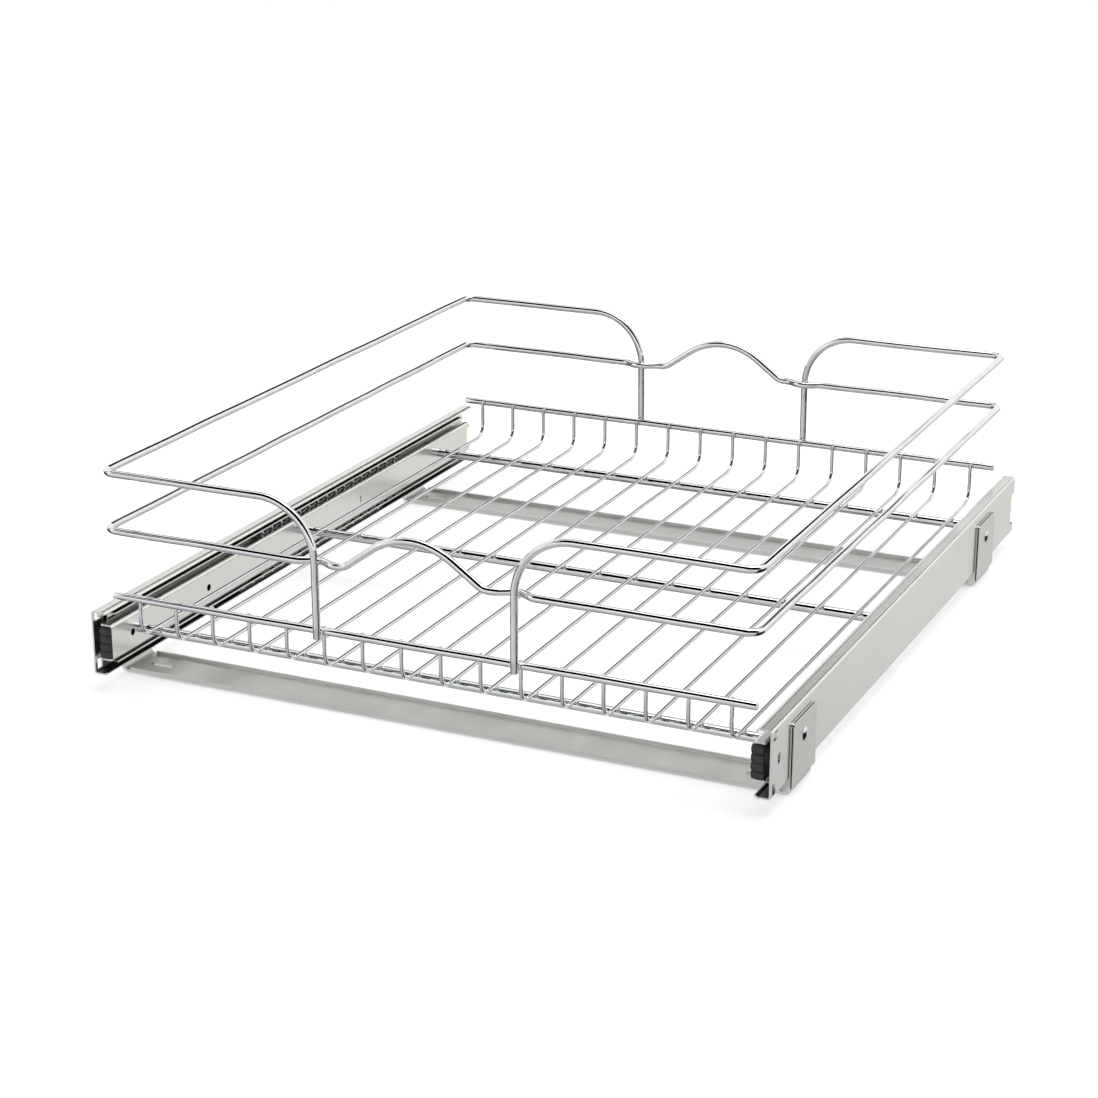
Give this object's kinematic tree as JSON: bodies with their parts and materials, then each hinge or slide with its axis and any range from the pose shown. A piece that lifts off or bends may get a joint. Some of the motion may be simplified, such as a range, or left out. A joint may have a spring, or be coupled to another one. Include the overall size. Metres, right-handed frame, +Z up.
{
  "type": "pull out cabinet basket",
  "caption": "Chromed wire basket hung between two full-extension ball-bearing slides on pressed cross rails that screw to a cabinet floor.",
  "frame": {"origin": "middle of the footprint, on the mounting face under the two cross rails", "axes": "+Z up from the cabinet floor, -Y the way the basket pulls out, +X to the right seen from the front"},
  "size_m": [0.454, 0.508, 0.1446],
  "materials": {
    "chrome_wire": "bright chrome plate on drawn steel wire",
    "zinc_slide": "bright zinc-plated cold-rolled steel",
    "galvanised_sheet": "galvanised sheet steel, greyer than the slides",
    "retainer_steel": "thin zinc-plated strip",
    "ball_steel": "polished bearing steel",
    "rivet_steel": "bright zinc-plated steel",
    "black_buffer": "matt black moulded plastic"
  },
  "bodies": {
    "base": {"front_cross_rail": "galvanised_sheet", "rear_cross_rail": "galvanised_sheet", "left_outer_member": "zinc_slide", "right_outer_member": "zinc_slide", "bracket_rivets": "rivet_steel"},
    "basket": {"left_inner_member": "zinc_slide", "right_inner_member": "zinc_slide", "left_front_buffer": "black_buffer", "right_front_buffer": "black_buffer", "rod_screws": "rivet_steel", "front_cross_rod": "chrome_wire", "middle_cross_rod": "chrome_wire", "rear_cross_rod": "chrome_wire", "front_end_rod": "chrome_wire", "rear_end_rod": "chrome_wire", "left_upper_rail": "chrome_wire", "right_upper_rail": "chrome_wire", "lower_hoop": "chrome_wire", "floor_wire_01": "chrome_wire", "floor_wire_02": "chrome_wire", "floor_wire_03": "chrome_wire", "floor_wire_04": "chrome_wire", "floor_wire_05": "chrome_wire", "floor_wire_06": "chrome_wire", "floor_wire_07": "chrome_wire", "floor_wire_08": "chrome_wire", "floor_wire_09": "chrome_wire", "floor_wire_10": "chrome_wire", "floor_wire_11": "chrome_wire", "floor_wire_12": "chrome_wire", "floor_wire_13": "chrome_wire", "floor_wire_14": "chrome_wire", "floor_wire_15": "chrome_wire", "floor_wire_16": "chrome_wire"},
    "left_intermediate": {"left_intermediate_member": "zinc_slide"},
    "left_outer_cage": {"left_outer_ball_retainer": "retainer_steel", "left_outer_balls": "ball_steel"},
    "left_inner_cage": {"left_inner_ball_retainer": "retainer_steel", "left_inner_balls": "ball_steel"},
    "right_intermediate": {"right_intermediate_member": "zinc_slide"},
    "right_outer_cage": {"right_outer_ball_retainer": "retainer_steel", "right_outer_balls": "ball_steel"},
    "right_inner_cage": {"right_inner_ball_retainer": "retainer_steel", "right_inner_balls": "ball_steel"}
  },
  "joints": [
    {"name": "basket_slide", "type": "slide", "parent": "base", "child": "basket", "axis": [0, -1, 0], "range_m": [0, 0.46]},
    {"name": "left_intermediate_slide", "type": "slide", "parent": "base", "child": "left_intermediate", "axis": [0, -1, 0], "range_m": [0, 0.23]},
    {"name": "left_outer_cage_slide", "type": "slide", "parent": "base", "child": "left_outer_cage", "axis": [0, -1, 0], "range_m": [0, 0.115]},
    {"name": "left_inner_cage_slide", "type": "slide", "parent": "base", "child": "left_inner_cage", "axis": [0, -1, 0], "range_m": [0, 0.345]},
    {"name": "right_intermediate_slide", "type": "slide", "parent": "base", "child": "right_intermediate", "axis": [0, -1, 0], "range_m": [0, 0.23]},
    {"name": "right_outer_cage_slide", "type": "slide", "parent": "base", "child": "right_outer_cage", "axis": [0, -1, 0], "range_m": [0, 0.115]},
    {"name": "right_inner_cage_slide", "type": "slide", "parent": "base", "child": "right_inner_cage", "axis": [0, -1, 0], "range_m": [0, 0.345]}
  ],
  "couplings": [
    {"joint": "left_intermediate_slide", "follows": "basket_slide", "ratio": 0.5},
    {"joint": "left_outer_cage_slide", "follows": "basket_slide", "ratio": 0.25},
    {"joint": "left_inner_cage_slide", "follows": "basket_slide", "ratio": 0.75},
    {"joint": "right_intermediate_slide", "follows": "basket_slide", "ratio": 0.5},
    {"joint": "right_outer_cage_slide", "follows": "basket_slide", "ratio": 0.25},
    {"joint": "right_inner_cage_slide", "follows": "basket_slide", "ratio": 0.75}
  ]
}
